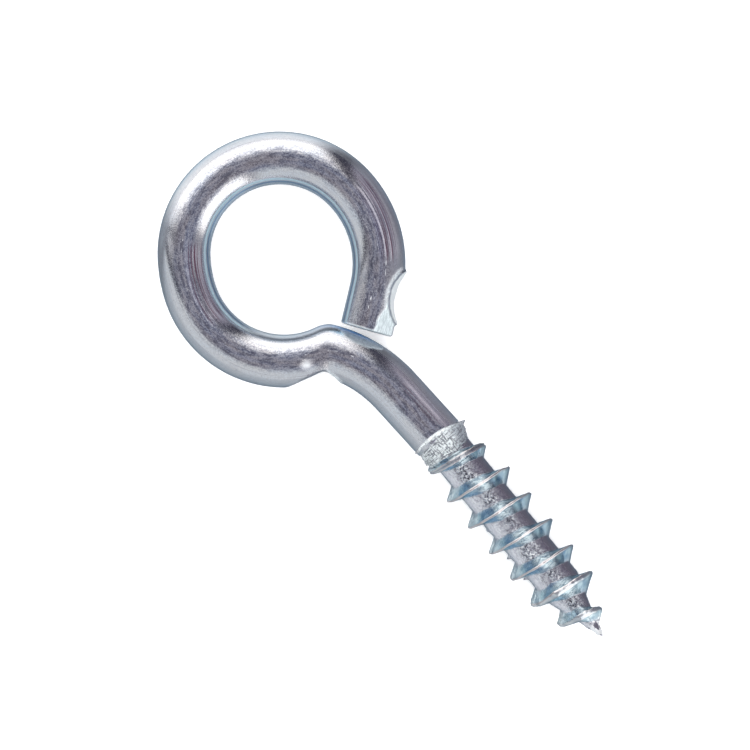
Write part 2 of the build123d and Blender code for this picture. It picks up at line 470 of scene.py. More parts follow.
        # painted shade: a dark line along the notch's edge, on the wire's top
        pinch_shade_line = 0.8 * (1 - by_shank) * hump(pinch, 0.06) * ease(sine, 0.5, 0.7)[None, :]
        by_blue = hump(self.travelled - BLUE_AT, 1.3)[:, None]
        return {
            "fresh": np.maximum.reduce((torn_share, pushed_up, cut_edge, pinch_edge)),
            # painted shade: dark lines along the scoop's edge and the notch
            "crease_shade": np.maximum(hump(scoop + 0.09, 0.065), pinch_shade_line),
            # painted highlight: a white, chalky blob on the dent beside the notch and on the scoop's wall
            "painted_highlight": np.maximum(0.8 * self.dent(points) ** 1.5, 0.8 * ease(scoop, -0.05, -0.01)),
            "stain": stain_share(self.travelled, self.turn),
            "blue": by_blue * hump(cosine + 0.96, 0.07)[None, :],
        }

    def straight(self, cap_count):
        """Each point's place on the wire when it was straight, with the cut face's rings past it"""
        past_end = self.travelled[-1] + np.arange(1, cap_count + 1) * 0.2
        along = np.concatenate((self.travelled, past_end))[:, None]
        cosine, sine = np.cos(self.turn)[None, :], np.sin(self.turn)[None, :]
        return np.stack(np.broadcast_arrays(along, wire_radius * cosine, wire_radius * sine), -1)


def wire_surface():
    """Rings of points over the bent wire and its cut face, and the marks on them"""
    wire = BentWire()
    points = wire.surface()
    marks = wire.marks(points)

    # the flat of the cut face, as rings that shrink to its middle
    shrink = np.linspace(1.0, 0.0, 9)[1:-1, None, None]
    cap = wire.end + (points[-1] - wire.end) * shrink
    points = np.concatenate((points, cap))
    for name, values in marks.items():
        cap_value = 1.0 if name == "fresh" else 0.0
        marks[name] = np.concatenate((values, np.full(cap.shape[:2], cap_value)))
    marks["straight"] = wire.straight(len(cap))
    return points, marks


# ---- the threaded end ----

def core_radius_at(x):
    """Radius of the thread's core, which tapers over the point"""
    return core_radius * np.clip((THREAD_LENGTH - x) / POINT_LENGTH, 0.0, 1.0)


def ridge_share_at(x):
    """Share of its full size that the ridge has at this place along the axis"""
    run = (x + COLLAR_LENGTH) / THREAD_RUN_IN
    grown = 0.66 * ease(run, 0.0, 0.4) + 0.34 * ease(run, 0.9, 1.35)
    left = (THREAD_LENGTH - x) / THREAD_RUN_OUT
    return np.clip(np.minimum(grown, left), 0.0, 1.0) * ease(-x, -THREAD_RIDGE_END, 0.5 - THREAD_RIDGE_END)


def wind_up(x):
    """Places along an endless thread, drawn together so that they never pass the tip"""
    start = THREAD_LENGTH - TIP_WINDING
    past = np.maximum(x - start, 0.0)
    return np.where(x < start, x, THREAD_LENGTH - TIP_WINDING * np.exp(-past / TIP_WINDING))


def angle_from_top(angle):
    """How far round the thread these angles are from its top, in radians, positive to the left"""
    return (angle + 1.5 * pi) % (2 * pi) - pi


def next_turn(values):
    """The values that the ridge has one turn on"""
    return np.concatenate((values[THREAD_POINTS_ROUND:], values[:THREAD_POINTS_ROUND]))


class Ridge:
    """The course and size of the ridge by place round the thread, crumpled as cutting left it"""

    def __init__(self):
        first = -COLLAR_LENGTH - THREAD_PITCH
        last = THREAD_LENGTH + 1.6 * THREAD_PITCH
        count = int((last - first) / THREAD_PITCH * THREAD_POINTS_ROUND) + 1
        crest = first + THREAD_PITCH * np.arange(count) / THREAD_POINTS_ROUND
        angle = -2 * pi * (crest + COLLAR_LENGTH) / THREAD_PITCH + radians(THREAD_START_ANGLE)
        to_left = np.cos(angle)  # 1 where the ridge is on the photograph's left, -1 on its right
        self.crest, self.angle, self.to_left = crest, angle, to_left
        self.first_turn = ease(-crest, -THREAD_FIRST_TURN_END - 0.6, -THREAD_FIRST_TURN_END)
        self.rolled = ease(crest, THREAD_BLUNT_FROM, THREAD_BLUNT_FROM + 0.6)

        # it wavers along the axis, in height and in the width of its crest
        spiral = np.stack((crest, 2.2 * np.cos(angle), 2.2 * np.sin(angle)), axis=-1)
        self.waver = 0.045 * rough(spiral, 1.1, 5.0) + 0.012 * rough(spiral, 2.8, 6.0)
        worn = 0.06 * rough(spiral, 1.4, 7.0)
        worn = worn + (0.02 + 0.02 * self.rolled) * rough(spiral, 3.6, 8.0)
        blunt = np.maximum(self.first_turn, self.rolled)
        land = (THREAD_CREST_LAND + (THREAD_BLUNT_LAND - THREAD_CREST_LAND) * blunt) / 2
        self.land = land * (1 + 0.4 * rough(spiral, 2.6, 15.0)) * (1 - 0.4 * to_left ** 2)
        share = ridge_share_at(wind_up(crest))
        self.height = share * (THREAD_HEIGHT + worn)
        steep_left = 0.16 * ease(to_left, 0.1, 0.9)
        steep_right = 0.24 * ease(-to_left, 0.1, 0.9)
        self.tip_flank = share * (THREAD_TIP_FLANK - 0.12 * to_left - steep_left) + 0.02
        self.eye_flank = share * (THREAD_EYE_FLANK - steep_right) + 0.02

    def columns(self):
        """Across one pitch, crest to crest: each column's places along the axis and heights over
        the core, and its marks of the crest, the painted shade in the creases, the root and the painted
        shade lines on the first turn's flank"""
        crest, height = self.crest + self.waver, self.height
        next_crest = self.crest + THREAD_PITCH + next_turn(self.waver) - next_turn(self.land)

        # along the middle of the crest there is a groove on the first turn and a ridge on the last
        middle = height + 0.012 - 0.07 * self.first_turn + 0.03 * self.rolled
        columns = [(crest, middle, 1.0, 0.0, 0.0, 0.0)]
        for step in FLANK_STEPS:
            fall = (1 - step) ** THREAD_FLANK_HOLLOW
            columns.append((crest + self.land + self.tip_flank * step, height * fall,
                            float(step == 0), 0.4 * hump(step - 0.08, 0.05), step ** 6, 0.0))
        root_start = columns[-1][0]
        root_end = next_crest - next_turn(self.eye_flank)
        for step in ROOT_STEPS:
            place = root_start + (root_end - root_start) * step
            columns.append((place, np.zeros(len(crest)), 0.0, 0.0, 1.0, 0.0))
        for step in FLANK_STEPS[::-1]:
            fall = (1 - step) ** THREAD_FLANK_HOLLOW
            place = next_crest - next_turn(self.eye_flank) * step
            columns.append((place, next_turn(height) * fall, float(step == 0),
                            hump(step - 0.08, 0.08), step ** 6, float(step in RIB_SHADE_STEPS)))
        places, heights, *marks = zip(*columns)
        place = np.stack(places, axis=1)
        marks = [np.broadcast_to(values, place.shape) for values in marks]
        return place, np.stack(heights, axis=1), dict(zip(("crest", "crease_shade", "root", "rib_shade"), marks))


def thread_surface():
    """Points over the thread by place round it and place across one pitch. With them come marks of its
    crest, painted shade in its creases, root, pits, blue, painted glints, painted shade, painted light on
    the roots' left, and its tip's painted facets"""
    ridge = Ridge()
    place, height, marks = ridge.columns()
    angle, to_left = ridge.angle, ridge.to_left
    x = wind_up(place)
    from_top = angle_from_top(angle)[:, None]
    from_left = ((2 - 2 * to_left) ** 0.5)[:, None]
    swash = THREAD_SWASH * to_left[:, None] * ridge_share_at(x) ** 0.5
    radius = core_radius_at(x) + height
    radius = radius * (1 + 0.25 * hump(x - THREAD_RIDGE_END, 0.45))
    radius = radius + 0.07 * hump(x - THREAD_LENGTH + 0.35, 0.25)
    radius = np.where(x < -COLLAR_LENGTH, np.minimum(radius, core_radius), radius)
    burrs = sum(tall * hump(x + swash - at, 0.1) * hump(from_left, 0.12) for at, tall in THREAD_BURRS)
    radius = radius + burrs
    round_x = (-radius * np.cos(angle)[:, None], -radius * np.sin(angle)[:, None])
    points = np.stack((x + swash, *round_x), axis=-1)

    # the root is pitted, most on its top and its left
    root = marks["root"]
    on_top = hump(from_top - 0.12, 0.5) * root
    pitted = 0.02 * rough(points, 4.5, 11.0) + 0.014 * rough(points, 9.0, 12.0)
    strength = 0.25 + 0.9 * on_top + 0.7 * hump(from_left, 0.4) * root
    dent = pitted * np.clip(radius / core_radius, 0, 1) * strength
    points[..., 1] *= 1 + dent
    points[..., 2] *= 1 + dent

    rolled, first_turn = ridge.rolled[:, None], ridge.first_turn
    patchy = ease(rough(points, 1.3, 13.0), -0.45, 0.1)
    torn_crest = rolled * hump(from_left, 0.5) * (1 - root)
    marks["pits"] = np.maximum(on_top, 0.8 * torn_crest) * patchy
    # painted shade in the creases: dark lines under the crests, stronger on the right, along the first
    # turn's flank, beside the burrs and in the first turn's crest groove
    marks["crease_shade"] = marks["crease_shade"] * (0.3 + 0.7 * ease(-to_left, -0.1, 0.6))[:, None]
    rib_shades = marks.pop("rib_shade") * next_turn(first_turn)[:, None]
    marks["crease_shade"] = np.maximum.reduce((marks["crease_shade"], rib_shades, ease(burrs, 0.08, 0.2)))
    beside_top = hump(from_top - 0.48, 0.28) + 0.6 * hump(from_top + 0.8, 0.25)
    marks["blue"] = beside_top * (1 - 0.7 * rolled) * np.ones(place.shape)
    marks["crest"] = marks["crest"] * (1 - 0.5 * rolled)
    marks["crease_shade"][:, 0] = 0.8 * first_turn
    marks["crest"][:, 0] *= 1 - 0.9 * first_turn
    # painted glints: paler, chalky flanks near the top and on the left
    marks["glint"] = (hump(from_top + 0.1, 0.26) + hump(from_left, 0.55)) * (1 - root)
    marks["shade"] = ease(-to_left, 0.3, 0.75)[:, None] * root
    # painted light: paler, chalky roots on the left
    marks["pale"] = hump(from_top - 0.95, 0.4) * root
    # painted highlights and shade: the tip is painted with white facets and dark lines
    marks["tip"] = ease(x, THREAD_LENGTH - 1.3, THREAD_LENGTH - 0.9)
    return points, marks


def collar_surface():
    """Rings of points over the rough collar, from under its lip to inside the thread's start, and
    marks of the painted highlight where the metal curls up at the lip, most on its top, and of the painted
    shade on its right"""
    turn = 2 * pi * np.arange(COLLAR_POINTS_ROUND) / COLLAR_POINTS_ROUND
    to_left = np.cos(turn)
    from_lip = np.concatenate(
        (np.linspace(-0.12, 0.12, 10), np.linspace(0.14, COLLAR_LENGTH + 0.75, 70))
    )
    grid = (len(from_lip), COLLAR_POINTS_ROUND)
    wavy = 0.1 * hand_noise(1, COLLAR_POINTS_ROUND, 0, 5, 21.0)[0]
    bulge = 0.29 * (1 - to_left ** 2)
    lip = -COLLAR_LENGTH - LIP_LENGTH + 0.23 - 0.18 * to_left - bulge + 0.4 * wavy
    x = lip[None, :] + from_lip[:, None] * np.ones(COLLAR_POINTS_ROUND)

    # the shoulder narrows to the core, later on the left than on the right
    narrowing_end = 0.3 + 0.3 * to_left
    narrow = ease(x, narrowing_end - 1.1, narrowing_end)
    radius = wire_radius + (core_radius - 0.08 - wire_radius) * narrow
    radius += 1.6 * LIP_HEIGHT * hump(from_lip - 0.11, 0.12)[:, None]
    from_right = (2 + 2 * to_left) ** 0.5
    radius += LIP_SPIKE * hump(from_lip - 0.1, 0.12)[:, None] * hump(from_right, 0.22)[None, :]
    radius -= 0.16 * ease(-from_lip, -0.02, 0.1)[:, None]

    # fine ribs that run with the thread, and the tearing of the cut
    phase = -(turn - radians(THREAD_START_ANGLE)) / (2 * pi)
    crest = -COLLAR_LENGTH + THREAD_PITCH * (phase % 1.0)
    for behind, height, width in ((0.4, 0.11, 0.05), (0.58, 0.11, 0.05), (0.8, 0.07, 0.06)):
        radius += height * hump(x - crest[None, :] + behind, width) * (1 - 0.6 * narrow)
    scratches = hand_noise(*grid, 34, 40, 23.0)
    tears = hand_noise(*grid, 16, 22, 24.0)
    radius += (0.035 * scratches + 0.05 * tears) * ease(from_lip, 0.0, 0.15)[:, None]
    points = np.stack((x, -radius * np.cos(turn), -radius * np.sin(turn)), axis=-1)
    from_top = angle_from_top(turn)
    # painted highlight: the curled lip is painted white, most on its top
    curled_lip_highlight = hump(from_lip - 0.1, 0.12)[:, None] * (0.7 + 0.5 * tears)
    curled_lip_highlight = curled_lip_highlight * (0.2 + 0.8 * hump(from_top - 0.25, 0.6))[None, :]
    shade = np.broadcast_to(ease(-from_top, 0.1, 0.9)[None, :], grid)
    return points, {"curled_lip_highlight": np.clip(curled_lip_highlight, 0.0, 1.0), "shade": shade}


# ---- laying it down, and making the meshes ----

def leaned(points):
    """Thread points in the wire's flat layout: the thread starts past the collar and leans a little"""
    lean = radians(-THREAD_LEAN_ANGLE)
    turned = np.array(((cos(lean), -sin(lean), 0), (sin(lean), cos(lean), 0), (0, 0, 1)))
    return points @ turned.T + (COLLAR_LENGTH, 0, 0)


def laying(wire_points):
    """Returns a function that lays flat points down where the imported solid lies, and holds them to
    its box, which a few of the thread's points would pass by less than 0.01 mm"""
    far_side = wire_points[..., 0].min()
    rise = core_radius + THREAD_HEIGHT - wire_radius
    lean = asin(rise / (THREAD_RUN_IN - far_side))
    turned = np.array(((cos(lean), 0, -sin(lean)), (0, 1, 0), (sin(lean), 0, cos(lean))))
    wire = wire_points.reshape(-1, 3) @ turned.T
    low, high = np.array(cad_low) / MM, np.array(cad_high) / MM
    shift = np.array((
        low[0] - wire[:, 0].min(),
        (low[1] + high[1] - wire[:, 1].min() - wire[:, 1].max()) / 2,
        low[2] - wire[:, 2].min(),
    ))

    def lay(points):
        return np.clip(points @ turned.T + shift, low, high)

    return lay


def make_mesh(name, points, faces, values, material):
    """A smooth-shaded mesh object with named values at its points"""
    mesh = bpy.data.meshes.new(name)
    mesh.from_pydata((points * MM).tolist(), [], faces)
    for label, data in values.items():
        kind = "FLOAT_VECTOR" if data.ndim == 2 else "FLOAT"
        store = mesh.attributes.new(label, kind, "POINT")
        store.data.foreach_set("vector" if data.ndim == 2 else "value", data.ravel())
    mesh.materials.append(material)
    mesh.shade_smooth()
    mesh.validate()
    piece = bpy.data.objects.new(name, mesh)
    bpy.context.collection.objects.link(piece)
    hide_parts("screw_eye")
    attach(piece, "root")


def with_ends(marks):
    """Values of a grid's points as flat lists, followed by those of its two end points"""
    values = {}
    for name, mark in marks.items():
        flat = mark.reshape(-1, *mark.shape[2:])
        values[name] = np.concatenate((flat, flat[:1], flat[-1:]))
    return values


def ring_faces(rings, round_count):
    """Quads between rings, and fans that close the first and last ring to the two points after"""
    start, end = rings * round_count, rings * round_count + 1
    last = start - round_count
    sides = [(i, (i + 1) % round_count) for i in range(round_count)]
    faces = []
    for near in range(0, last, round_count):
        far = near + round_count
        faces += [(near + i, near + j, far + j, far + i) for i, j in sides]
    for i, j in sides:
        faces += [(start, j, i), (end, last + i, last + j)]
    return faces


def spiral_faces(count, steps):
    """Quads of a strip that winds round, each turn's last column being the next turn's first, and
    fans that close its two ends to the two points after"""
    round_count = THREAD_POINTS_ROUND

    def vertex(i, k):
        return i * steps + k if k < steps else (i + round_count) * steps

    last = count - round_count - 1
    faces = []
    for i in range(last):
        for k in range(steps):
            faces.append((vertex(i, k), vertex(i, k + 1), vertex(i + 1, k + 1), vertex(i + 1, k)))
    start_loop = [vertex(i, 0) for i in range(round_count + 1)]
    start_loop += [vertex(0, k) for k in range(steps - 1, 0, -1)]
    end_loop = [vertex(i, steps) for i in range(last - round_count, last + 1)]
    end_loop += [vertex(last, k) for k in range(steps - 1, 0, -1)]
    start, end = count * steps, count * steps + 1
    faces += [(start, a, b) for a, b in zip(start_loop, start_loop[1:] + start_loop[:1])]
    faces += [(end, b, a) for a, b in zip(end_loop, end_loop[1:] + end_loop[:1])]
    return faces


# ---- materials ----

class Nodes:
    """Adds and links the nodes of one material or world"""

    def __init__(self, tree):
        self.tree = tree
        tree.nodes.clear()

    def put(self, value, socket):
        """Links an output to a socket, or sets a plain value on it"""
        if isinstance(value, bpy.types.NodeSocket):
            self.tree.links.new(value, socket)
        else:
            socket.default_value = value

    def add(self, kind, settings=None, **inputs):
        node = self.tree.nodes.new(kind)
        for key, value in (settings or {}).items():
            setattr(node, key, value)
        for key, value in inputs.items():
            self.put(value, node.inputs[key.replace("_", " ")])
        return node

    def marks(self, *names):
        """The named values at the mesh's points"""
        return [self.add("ShaderNodeAttribute", {"attribute_name": name}).outputs["Fac"]
                for name in names]

    def vector(self, name):
        return self.add("ShaderNodeAttribute", {"attribute_name": name}).outputs["Vector"]

    def math(self, operation, first, second=0.0, clamp=False):
        node = self.add("ShaderNodeMath", {"operation": operation, "use_clamp": clamp})
        self.put(first, node.inputs[0])
        self.put(second, node.inputs[1])
        return node.outputs[0]

    def times(self, first, second, clamp=False):
        return self.math("MULTIPLY", first, second, clamp)

    def noise(self, place, scale, detail=2.0, roughness=0.5, factors=None):
        if factors:
            place = self.stretched(place, factors)
        node = self.add("ShaderNodeTexNoise", Vector=place, Scale=scale, Detail=detail,
                        Roughness=roughness)
        return node.outputs["Fac"]

    def stretched(self, place, factors):
        node = self.add("ShaderNodeVectorMath", {"operation": "MULTIPLY"})
        self.put(place, node.inputs[0])
        self.put(factors, node.inputs[1])
        return node.outputs[0]

    def ranged(self, value, low, high, to_low=0.0, to_high=1.0):
        node = self.add("ShaderNodeMapRange", Value=value, From_Min=low, From_Max=high,
                        To_Min=to_low, To_Max=to_high)
        return node.outputs[0]

    def mixed(self, share, first, second):
        node = self.add("ShaderNodeMix", {"data_type": "RGBA"}, Factor=share)
        colours = [s for s in node.inputs if s.type == "RGBA"]
        self.put(first, colours[0])
        self.put(second, colours[1])
        return [s for s in node.outputs if s.type == "RGBA"][0]

    def metallic(self, chalky, others):
        """How metallic the zinc is, where shares of it are chalky by these amounts"""
        for share, amount in others:
            chalky = self.math("MAXIMUM", chalky, self.times(share, amount))
        return self.math("SUBTRACT", 1.0, chalky)

    def surface(self, **inputs):
        """Ends a material in one shader with these inputs"""
        shader = self.add("ShaderNodeBsdfPrincipled", **inputs)
        self.add("ShaderNodeOutputMaterial", Surface=shader.outputs[0])


def new_material(name):
    material = bpy.data.materials.new(name)
    material.use_nodes = True
    return material, Nodes(material.node_tree)


def drawn_tint(nodes, place, lines, grain, blotch, on_top):
    """The zinc's colour on drawn wire, whose top is grainy and painted darker as a dark reflection and
    whose sides are smooth
    """
    warm = nodes.ranged(blotch, 0.4, 0.6)
    pale = nodes.mixed(warm, (0.92, 0.95, 1.0, 1), (0.97, 0.95, 0.95, 1))
    # painted dark reflection: the top is much darker than the sides, in warm and bluish patches
    shaded_top = nodes.mixed(warm, (0.38, 0.41, 0.53, 1), (0.53, 0.5, 0.53, 1))
    low = nodes.mixed(on_top, (0.84, 0.84, 0.87, 1), shaded_top)
    tint = nodes.mixed(nodes.ranged(grain, 0.4, 0.6), low, pale)
    tint = nodes.mixed(nodes.ranged(lines, 0.54, 0.64, 0.0, 0.3), tint, (0.42, 0.38, 0.46, 1))
    streaks = nodes.noise(place, 3.6, 3.0, 0.7, (0.5, 1.6, 1.6))
    dark_streaks = nodes.times(nodes.ranged(streaks, 0.49, 0.38, 0.0, 0.65), on_top)
    pale_streaks = nodes.times(nodes.ranged(streaks, 0.53, 0.64, 0.0, 0.65), on_top)
    tint = nodes.mixed(dark_streaks, tint, (0.22, 0.22, 0.28, 1))
    tint = nodes.mixed(pale_streaks, tint, (0.98, 0.97, 1.0, 1))
    specks = nodes.noise(place, 9.0, 2.0, 0.8, (0.6, 1.6, 1.6))
    return nodes.mixed(nodes.ranged(specks, 0.66, 0.72, 0.0, 0.7), tint, (0.24, 0.23, 0.27, 1))


def stained(nodes, tint, place, stain, on_top):
    """Adds red and lilac drawing lines where the wire is stained; returns the lilac lines' share
    and that of white sparks in the lines too, which are painted glints"""
    stripes = nodes.noise(place, 2.6, 1.0, factors=(0.03, 3.4, 3.4))
    red = nodes.times(nodes.ranged(stripes, 0.53, 0.58, 0.0, 0.8), stain)
    lilac = nodes.times(nodes.ranged(stripes, 0.46, 0.41, 0.0, 0.8), stain)
    tint = nodes.mixed(red, tint, (0.36, 0.12, 0.2, 1))
    tint = nodes.mixed(lilac, tint, (1.0, 0.92, 1.0, 1))
    dots = nodes.noise(place, 5.0, 2.0, 0.7, (0.5, 2.2, 2.2))
    in_line = nodes.times(nodes.ranged(stripes, 0.36, 0.32), on_top)
    return tint, lilac, nodes.times(nodes.ranged(dots, 0.56, 0.64, 0.0, 0.7), in_line)


def with_rim_reflections(nodes, tint, split):
    """Adds the painted reflection lines, light and dark, on the upper half of the eye's inner edge; returns
    their shares and chalk too
    """
    round_eye = nodes.ranged(split.outputs["X"], RIM_REFLECTION_START, RIM_REFLECTION_START + 2.0)
    upper = nodes.ranged(split.outputs["Z"], -0.2 * wire_radius, 0.0)
    upper_eye = nodes.times(round_eye, upper)
    rim_reflections = []
    for side, width, colour, chalk in RIM_REFLECTION_LINES:
        # each line is a painted reflection, light or dark, on the inner edge
        from_line = nodes.math("ABSOLUTE", nodes.math("ADD", split.outputs["Y"], side * wire_radius))
        line = nodes.ranged(from_line, 0.5 * width * wire_radius, width * wire_radius, 0.8, 0.0)
        line = nodes.times(line, upper_eye)
        tint = nodes.mixed(line, tint, colour)
        rim_reflections.append((line, chalk))
    return tint, rim_reflections


def zinc_wire():
    """Bright zinc on drawn wire: grain, fine lines along it, specks, purple and blue tints, a top painted
    darker, painted reflection lines along the eye's inner edge and painted highlights
    """
    material, nodes = new_material("zinc_wire")
    place = nodes.vector("straight")
    fresh, crease_shade, painted_highlight, stain, blue = nodes.marks("fresh", "crease_shade", "painted_highlight", "stain", "blue")
    lines = nodes.noise(place, 2.6, 3.0, 0.6, (0.12, 6.0, 6.0))
    grain = nodes.noise(place, 9.0, 3.0, 0.7)
    blotch = nodes.noise(place, 0.9, 3.0, 0.6, (0.5, 1.6, 1.6))
    split = nodes.add("ShaderNodeSeparateXYZ", Vector=place)
    aside = nodes.math("ABSOLUTE", split.outputs["Y"])
    on_top = nodes.ranged(aside, 0.25 * wire_radius, 0.55 * wire_radius, 1.0, 0.0)

    tint = drawn_tint(nodes, place, lines, grain, blotch, on_top)
    tint, lilac, sparks = stained(nodes, tint, place, stain, on_top)
    tint, rim_reflections = with_rim_reflections(nodes, tint, split)
    tint = nodes.mixed(blue, tint, (0.07, 0.25, 0.58, 1))
    scratches = nodes.noise(place, 2.2, 3.0, 0.7, (1.0, 5.0, 5.0))
    torn = nodes.mixed(nodes.ranged(scratches, 0.4, 0.6), (0.42, 0.48, 0.5, 1), (0.7, 0.77, 0.79, 1))
    tint = nodes.mixed(fresh, tint, torn)
    # painted highlights: the dent's blob, the scoop's wall and white sparks along the top
    painted_highlight = nodes.math("MAXIMUM", painted_highlight, sparks)
    tint = nodes.mixed(painted_highlight, tint, (0.97, 1.0, 1.0, 1))
    # painted shade along the edges of the cuts and the notch
    tint = nodes.mixed(crease_shade, tint, (0.1, 0.11, 0.15, 1))

    bump_fine = nodes.add("ShaderNodeBump", Height=grain, Strength=0.5, Distance=0.012 * MM)
    bump_lines = nodes.add("ShaderNodeBump", Height=lines, Strength=0.5, Distance=0.01 * MM,
                           Normal=bump_fine.outputs[0])
    rough_zinc = nodes.ranged(grain, 0.3, 0.7, 0.08, 0.18)
    roughness = nodes.math("MAXIMUM", rough_zinc, nodes.times(fresh, 0.4))
    chalky = [(painted_highlight, 0.7), (lilac, 0.3), (blue, 0.6)] + rim_reflections
    metallic = nodes.metallic(nodes.times(fresh, 0.75), chalky)
    nodes.surface(Base_Color=tint, Metallic=metallic, Roughness=roughness,
                  Normal=bump_lines.outputs[0], Specular_Tint=ZINC_EDGE_TINT)
    return material


def in_millimetres(nodes):
    """Places on a piece, in millimetres"""
    place = nodes.add("ShaderNodeTexCoord").outputs["Object"]
    return nodes.stretched(place, (1000.0, 1000.0, 1000.0))


def zinc_thread():
    """Zinc on the cut thread: bluish flanks with painted glints, a worn warm crest line, pitted roots with
    painted shade on the right and painted light on the left, and a tip painted with white facets and dark
    lines
    """
    material, nodes = new_material("zinc_thread")
    place = in_millimetres(nodes)
    crest, crease_shade, root, pits, blue, glint, shade, pale, tip = nodes.marks(
        "crest", "crease_shade", "root", "pits", "blue", "glint", "shade", "pale", "tip"
    )
    grain = nodes.noise(place, 8.0, 3.0, 0.7)
    patch = nodes.noise(place, 1.7, 2.0)
    crackle = nodes.noise(place, 5.5, 3.0, 0.8)

    patchy_blue = nodes.ranged(patch, 0.4, 0.65, -0.2, 0.5)
    deep = nodes.math("ADD", nodes.times(blue, 0.9), patchy_blue, clamp=True)
    flank = nodes.mixed(deep, (0.74, 0.88, 0.91, 1), (0.25, 0.40, 0.56, 1))
    # painted glints: pale cyan, chalky patches on the flanks
    flecks = nodes.noise(place, 4.0, 2.0, 0.7, (1.0, 0.6, 1.0))
    glints = nodes.times(glint, nodes.ranged(flecks, 0.4, 0.56, 0.1, 0.95), clamp=True)
    flank = nodes.mixed(glints, flank, (0.86, 0.98, 1.0, 1))
    core = nodes.mixed(nodes.ranged(grain, 0.36, 0.64), (0.62, 0.61, 0.67, 1), (0.93, 0.94, 0.97, 1))
    core = nodes.mixed(nodes.times(shade, 0.7), core, (0.36, 0.32, 0.38, 1))
    dark_pits = nodes.times(nodes.ranged(crackle, 0.5, 0.42), pits)
    pale_pits = nodes.times(nodes.ranged(crackle, 0.55, 0.6), pits)
    tint = nodes.mixed(root, flank, core)
    tint = nodes.mixed(dark_pits, tint, (0.12, 0.11, 0.14, 1))
    tint = nodes.mixed(pale_pits, tint, (0.95, 0.97, 0.97, 1))
    # painted shade in the creases
    tint = nodes.mixed(nodes.times(crease_shade, 0.85), tint, (0.2, 0.19, 0.23, 1))
    tint = nodes.mixed(crest, tint, (0.82, 0.76, 0.75, 1))
    # painted highlights and shade on the tip: white facets and dark lines
    facets = nodes.noise(place, 1.6, 1.0, factors=(0.5, 3.0, 3.0))
    painted_tip_facets = nodes.mixed(nodes.ranged(facets, 0.4, 0.45), (0.16, 0.15, 0.19, 1), (0.95, 0.96, 0.97, 1))
    tint = nodes.mixed(tip, tint, painted_tip_facets)

    bump = nodes.add("ShaderNodeBump", Height=grain, Strength=0.5, Distance=0.02 * MM)
    pitted = nodes.times(crackle, pits)
    bump_pits = nodes.add("ShaderNodeBump", Height=pitted, Strength=1.0, Distance=0.14 * MM,
                          Normal=bump.outputs[0])
    roughness = nodes.ranged(grain, 0.3, 0.7, 0.08, 0.22)
    # the pale mark is painted light on the roots' left
    chalky = ((pale_pits, 0.5), (pale, 0.35), (tip, 0.5))
    metallic = nodes.metallic(nodes.times(glints, 0.65), chalky)
    nodes.surface(Base_Color=tint, Metallic=metallic, Roughness=roughness,
                  Normal=bump_pits.outputs[0], Specular_Tint=ZINC_EDGE_TINT)
    return material


def zinc_collar():
    """Zinc on torn metal: pale and shiny, with fine scratches that cross, a painted highlight on the curled
    lip and painted shade on one side
    """
    material, nodes = new_material("zinc_collar")
    place = in_millimetres(nodes)
    curled_lip_highlight, shade = nodes.marks("curled_lip_highlight", "shade")
    lengthwise = nodes.noise(place, 3.2, 2.0, 0.6, (0.6, 3.0, 3.0))
    crosswise = nodes.noise(place, 3.2, 2.0, 0.6, (4.0, 0.6, 0.6))
    scratch = nodes.math("MAXIMUM", nodes.ranged(lengthwise, 0.52, 0.6), nodes.ranged(crosswise, 0.52, 0.6))
    clean = nodes.mixed(shade, (0.9, 0.96, 0.96, 1), (0.5, 0.55, 0.6, 1))
    tint = nodes.mixed(scratch, clean, (0.25, 0.26, 0.29, 1))
    tint = nodes.mixed(curled_lip_highlight, tint, (0.98, 1.0, 1.0, 1))
    bump = nodes.add("ShaderNodeBump", Height=scratch, Strength=0.8, Distance=-0.03 * MM)
    nodes.surface(Base_Color=tint, Metallic=nodes.ranged(curled_lip_highlight, 0.0, 1.0, 0.6, 0.2),
                  Roughness=0.24, Normal=bump.outputs[0])
    return material


def floor_material(name, colour, metallic, roughness, glow):
    material, nodes = new_material(name)
    nodes.surface(Base_Color=colour, Metallic=metallic, Roughness=roughness,
                  Emission_Color=(1.0, 1.0, 1.0, 1), Emission_Strength=glow)
    return material


def fading(nodes, colour, strength, fades):
    """Ends a material in light that fades out over these shares of a card from its start, end, low
    and high edge"""
    place = nodes.vector("sheet")
    split = nodes.add("ShaderNodeSeparateXYZ", Vector=place)
    level = None
    for edge, fade in enumerate(fades):
        value = split.outputs[edge // 2]
        if edge % 2:
            value = nodes.math("SUBTRACT", 1.0, value)
        ramp = nodes.add("ShaderNodeMapRange", {"interpolation_type": "SMOOTHSTEP"}, Value=value)
        ramp.inputs["From Max"].default_value = fade
        level = nodes.times(level, ramp.outputs[0]) if level else ramp.outputs[0]
    glow = nodes.add("ShaderNodeEmission", Color=colour, Strength=strength)
    clear = nodes.add("ShaderNodeBsdfTransparent")
    mix = nodes.add("ShaderNodeMixShader", Fac=level)
    nodes.tree.links.new(clear.outputs[0], mix.inputs[1])
    nodes.tree.links.new(glow.outputs[0], mix.inputs[2])
    nodes.add("ShaderNodeOutputMaterial", Surface=mix.outputs[0])


def glow_material(name, colour, strength, fades):
    material, nodes = new_material(name)
    fading(nodes, colour, strength, fades)
    return material


def slat_material():
    """A dim wall with darker and paler slats along it"""
    material, nodes = new_material("slats")
    place = nodes.vector("sheet")
    rows = nodes.noise(place, 5.0, 2.0, 0.7, (0.4, 1.0, 0.0))
    colour = nodes.mixed(nodes.ranged(rows, 0.38, 0.6), (0.11, 0.105, 0.15, 1), (0.38, 0.36, 0.42, 1))
    fading(nodes, colour, 1.0, (0.15, 0.15, 0.15, 0.15))
    return material


# ---- studio ----

